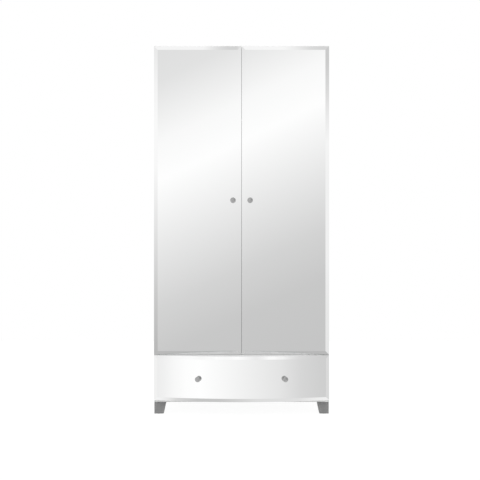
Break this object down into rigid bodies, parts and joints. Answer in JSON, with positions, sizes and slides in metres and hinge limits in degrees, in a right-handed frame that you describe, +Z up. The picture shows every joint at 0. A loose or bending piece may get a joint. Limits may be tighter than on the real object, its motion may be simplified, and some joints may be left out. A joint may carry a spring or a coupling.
{
  "type": "mirrored wardrobe with doors",
  "caption": "Mirrored wardrobe with hinged doors over a bow-fronted drawer, with a hat shelf and a hanging rail inside.",
  "frame": {"origin": "centre of the footprint, knobs included, on the floor", "axes": "+Z up, -Y towards the person who opens the doors, +X to that person's right"},
  "size_m": [0.9, 0.6022, 1.9],
  "materials": {
    "foiled_board": "satin foil",
    "drawer_board": "matt foil",
    "bevelled_mirror": "polished",
    "thin_sheet": "matt",
    "knob_metal": "satin pewter",
    "foot_paint": "satin paint",
    "chromed_tube": "polished",
    "pale_plastic": "matt",
    "glide_plastic": "matt",
    "beech": "bare",
    "plated_casting": "nickel plated",
    "bearing_steel": "bright",
    "zinc_steel": "zinc plated"
  },
  "bodies": {
    "carcass": {"left_side_panel": "foiled_board", "right_side_panel": "foiled_board", "left_side_mirror": "bevelled_mirror", "right_side_mirror": "bevelled_mirror", "top_panel": "foiled_board", "divider_panel": "foiled_board", "base_panel": "foiled_board", "hat_shelf": "foiled_board", "shelf_pins": "zinc_steel", "upper_back_sheet": "thin_sheet", "lower_back_sheet": "thin_sheet", "back_joint_strip": "pale_plastic", "cam_locks": "plated_casting", "cam_bolts": "zinc_steel", "dowels": "beech", "hanging_rail": "chromed_tube", "rail_sockets": "plated_casting", "feet": "foot_paint", "foot_plates": "zinc_steel", "foot_bolts": "zinc_steel", "foot_glides": "glide_plastic", "wall_brackets": "zinc_steel", "wood_screws": "zinc_steel", "euro_screws": "zinc_steel", "hinge_plates": "plated_casting", "left_hinge_arms": "plated_casting", "right_hinge_arms": "plated_casting", "front_bumpers": "pale_plastic", "left_runner_outer": "zinc_steel", "right_runner_outer": "zinc_steel"},
    "left_door": {"left_door_board": "foiled_board", "left_door_mirror": "bevelled_mirror", "left_door_knob": "knob_metal", "left_hinge_cups": "plated_casting", "left_hinge_pins": "zinc_steel", "left_door_screws": "zinc_steel"},
    "right_door": {"right_door_board": "foiled_board", "right_door_mirror": "bevelled_mirror", "right_door_knob": "knob_metal", "right_hinge_cups": "plated_casting", "right_hinge_pins": "zinc_steel", "right_door_screws": "zinc_steel"},
    "drawer": {"drawer_front_board": "foiled_board", "drawer_mirror": "bevelled_mirror", "drawer_front_blocks": "drawer_board", "drawer_box_front": "drawer_board", "left_drawer_side": "drawer_board", "right_drawer_side": "drawer_board", "drawer_back": "drawer_board", "drawer_bottom": "thin_sheet", "drawer_knobs": "knob_metal", "drawer_screws": "zinc_steel", "left_runner_inner": "zinc_steel", "right_runner_inner": "zinc_steel"},
    "left_runner_slide": {"left_runner_middle": "zinc_steel"},
    "right_runner_slide": {"right_runner_middle": "zinc_steel"},
    "left_outer_balls": {"left_outer_ball_cage": "bearing_steel"},
    "left_inner_balls": {"left_inner_ball_cage": "bearing_steel"},
    "right_outer_balls": {"right_outer_ball_cage": "bearing_steel"},
    "right_inner_balls": {"right_inner_ball_cage": "bearing_steel"}
  },
  "joints": [
    {"name": "left_door_hinge", "type": "hinge", "parent": "carcass", "child": "left_door", "pos_m": [-0.4425, -0.21091, 1.1013], "axis": [0, 0, -1], "range_deg": [0, 100]},
    {"name": "right_door_hinge", "type": "hinge", "parent": "carcass", "child": "right_door", "pos_m": [0.4425, -0.21091, 1.1013], "axis": [0, 0, 1], "range_deg": [0, 100]},
    {"name": "drawer_slide", "type": "slide", "parent": "carcass", "child": "drawer", "axis": [0, -1, 0], "range_m": [0, 0.4]},
    {"name": "left_runner_travel", "type": "slide", "parent": "carcass", "child": "left_runner_slide", "axis": [0, -1, 0], "range_m": [0, 0.2]},
    {"name": "left_outer_ball_roll", "type": "slide", "parent": "carcass", "child": "left_outer_balls", "axis": [0, -1, 0], "range_m": [0, 0.1]},
    {"name": "left_inner_ball_roll", "type": "slide", "parent": "carcass", "child": "left_inner_balls", "axis": [0, -1, 0], "range_m": [0, 0.3]},
    {"name": "right_runner_travel", "type": "slide", "parent": "carcass", "child": "right_runner_slide", "axis": [0, -1, 0], "range_m": [0, 0.2]},
    {"name": "right_outer_ball_roll", "type": "slide", "parent": "carcass", "child": "right_outer_balls", "axis": [0, -1, 0], "range_m": [0, 0.1]},
    {"name": "right_inner_ball_roll", "type": "slide", "parent": "carcass", "child": "right_inner_balls", "axis": [0, -1, 0], "range_m": [0, 0.3]}
  ],
  "couplings": [
    {"joint": "left_runner_travel", "follows": "drawer_slide", "ratio": 0.5},
    {"joint": "left_outer_ball_roll", "follows": "drawer_slide", "ratio": 0.25},
    {"joint": "left_inner_ball_roll", "follows": "drawer_slide", "ratio": 0.75},
    {"joint": "right_runner_travel", "follows": "drawer_slide", "ratio": 0.5},
    {"joint": "right_outer_ball_roll", "follows": "drawer_slide", "ratio": 0.25},
    {"joint": "right_inner_ball_roll", "follows": "drawer_slide", "ratio": 0.75}
  ]
}
